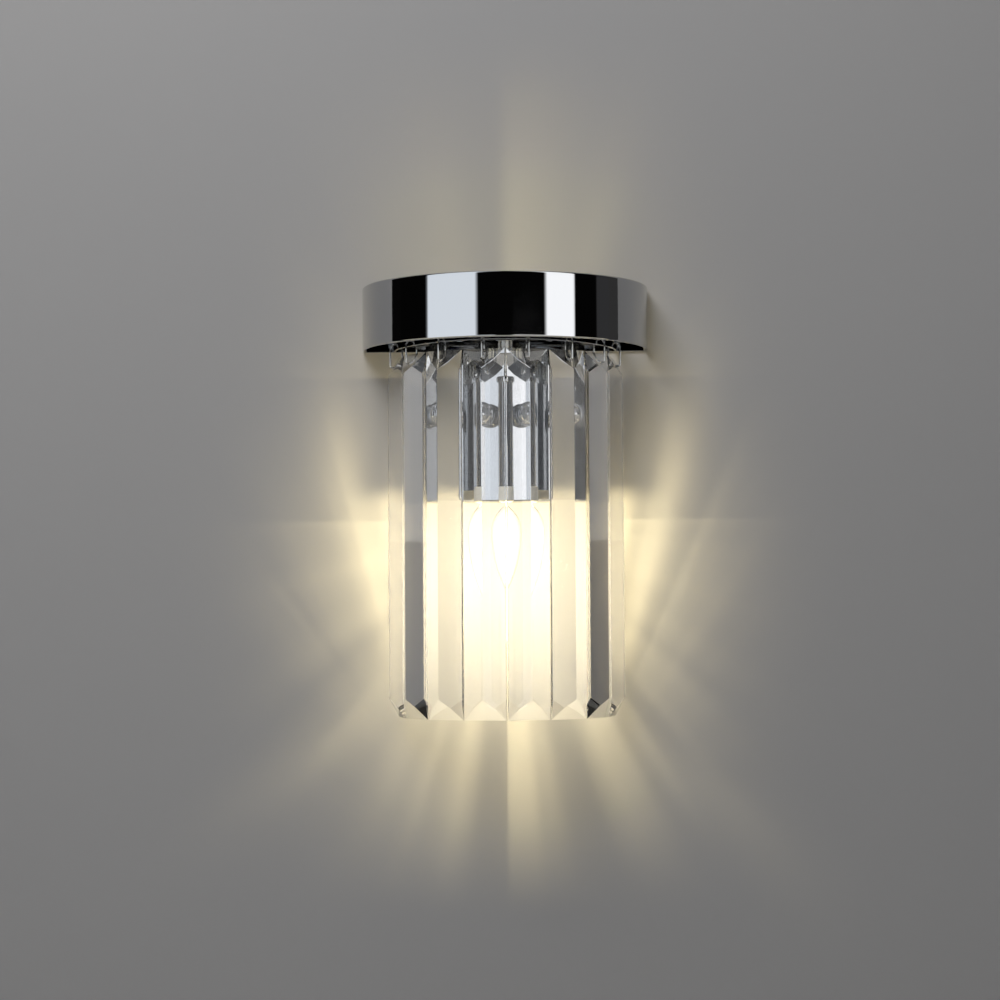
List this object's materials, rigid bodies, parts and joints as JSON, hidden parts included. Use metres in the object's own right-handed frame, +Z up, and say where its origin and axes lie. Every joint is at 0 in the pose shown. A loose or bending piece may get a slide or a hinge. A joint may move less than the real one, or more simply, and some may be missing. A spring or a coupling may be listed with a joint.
{
  "type": "crystal wall sconce",
  "caption": "Half-round wall light with a polished band, hanging crystal prisms and a downward candle lamp on a rectangular back pan.",
  "frame": {"origin": "on the wall plane, midway between the two wall screws and the two ball nuts", "axes": "+X right as seen from the room, +Y into the wall, +Z up"},
  "size_m": [0.2, 0.102, 0.299],
  "materials": {
    "polished_chrome": "mirror-polished chrome plate",
    "plated_steel": "zinc-plated steel",
    "crystal": "clear polished crystal",
    "bulb_glass": "thin clear glass",
    "black_glass": "opaque black glass",
    "filament": "glowing tungsten coil",
    "nickel_cap": "nickel plate",
    "brass": "plain brass",
    "white_plastic": "white heat-resistant moulding",
    "black_rubber": "matt black rubber",
    "brown_insulation": "brown lead insulation",
    "blue_insulation": "blue lead insulation",
    "green_insulation": "green and yellow lead insulation"
  },
  "bodies": {
    "frame": {"band": "polished_chrome", "back_strip": "polished_chrome", "hanger_hoop": "polished_chrome", "back_pan": "polished_chrome", "bridge": "plated_steel", "bridge_screws": "plated_steel", "bridge_nuts": "plated_steel", "grommet": "black_rubber", "lamp_stem": "plated_steel", "stem_nuts": "plated_steel", "tube_cap": "polished_chrome", "socket_tube": "polished_chrome", "holder_cap": "white_plastic", "holder_body": "white_plastic", "threaded_shell": "brass", "centre_contact": "brass", "holder_terminals": "brass", "wall_bracket": "plated_steel", "bracket_studs": "plated_steel", "stud_nuts": "plated_steel", "terminal_block": "white_plastic", "terminal_screws": "brass", "block_screw": "plated_steel", "earth_lug": "brass", "earth_screw": "brass", "live_lead": "brown_insulation", "neutral_lead": "blue_insulation", "earth_lead": "green_insulation"},
    "bulb": {"bulb_cap": "nickel_cap", "cap_insulator": "black_glass", "bulb_contact": "brass", "bulb_glass": "bulb_glass", "bulb_mount": "bulb_glass", "support_wires": "nickel_cap", "filament": "filament"},
    "left_ball_nut": {"ball_nut_left": "polished_chrome"},
    "right_ball_nut": {"ball_nut_right": "polished_chrome"},
    "hanging_prism_1": {"prism_1": "crystal", "hook_1": "polished_chrome"},
    "hanging_prism_2": {"prism_2": "crystal", "hook_2": "polished_chrome"},
    "hanging_prism_3": {"prism_3": "crystal", "hook_3": "polished_chrome"},
    "hanging_prism_4": {"prism_4": "crystal", "hook_4": "polished_chrome"},
    "hanging_prism_5": {"prism_5": "crystal", "hook_5": "polished_chrome"},
    "hanging_prism_6": {"prism_6": "crystal", "hook_6": "polished_chrome"},
    "hanging_prism_7": {"prism_7": "crystal", "hook_7": "polished_chrome"},
    "hanging_prism_8": {"prism_8": "crystal", "hook_8": "polished_chrome"}
  },
  "joints": [
    {"name": "prism_1_swing", "type": "hinge", "parent": "frame", "child": "hanging_prism_1", "pos_m": [-0.0758, -0.01708, 0.046], "axis": [-0.1951, 0.9808, 0], "range_deg": [-0.4, 65]},
    {"name": "prism_2_swing", "type": "hinge", "parent": "frame", "child": "hanging_prism_2", "pos_m": [-0.06426, -0.04494, 0.046], "axis": [-0.5556, 0.8315, 0], "range_deg": [-0.4, 65]},
    {"name": "prism_3_swing", "type": "hinge", "parent": "frame", "child": "hanging_prism_3", "pos_m": [-0.04294, -0.06626, 0.046], "axis": [-0.8315, 0.5556, 0], "range_deg": [-0.4, 65]},
    {"name": "prism_4_swing", "type": "hinge", "parent": "frame", "child": "hanging_prism_4", "pos_m": [-0.01508, -0.0778, 0.046], "axis": [-0.9808, 0.1951, 0], "range_deg": [-0.4, 65]},
    {"name": "prism_5_swing", "type": "hinge", "parent": "frame", "child": "hanging_prism_5", "pos_m": [0.01508, -0.0778, 0.046], "axis": [-0.9808, -0.1951, 0], "range_deg": [-0.4, 65]},
    {"name": "prism_6_swing", "type": "hinge", "parent": "frame", "child": "hanging_prism_6", "pos_m": [0.04294, -0.06626, 0.046], "axis": [-0.8315, -0.5556, 0], "range_deg": [-0.4, 65]},
    {"name": "prism_7_swing", "type": "hinge", "parent": "frame", "child": "hanging_prism_7", "pos_m": [0.06426, -0.04494, 0.046], "axis": [-0.5556, -0.8315, 0], "range_deg": [-0.4, 65]},
    {"name": "prism_8_swing", "type": "hinge", "parent": "frame", "child": "hanging_prism_8", "pos_m": [0.0758, -0.01708, 0.046], "axis": [-0.1951, -0.9808, 0], "range_deg": [-0.4, 65]},
    {"name": "bulb_removal", "type": "slide", "parent": "frame", "child": "bulb", "axis": [0, 0, -1], "range_m": [0, 0.18]},
    {"name": "left_ball_nut_turn", "type": "hinge", "parent": "frame", "child": "left_ball_nut", "pos_m": [-0.03, -0.031, 0], "axis": [0, -1, 0], "continuous": true},
    {"name": "right_ball_nut_turn", "type": "hinge", "parent": "frame", "child": "right_ball_nut", "pos_m": [0.03, -0.031, 0], "axis": [0, -1, 0], "continuous": true}
  ]
}
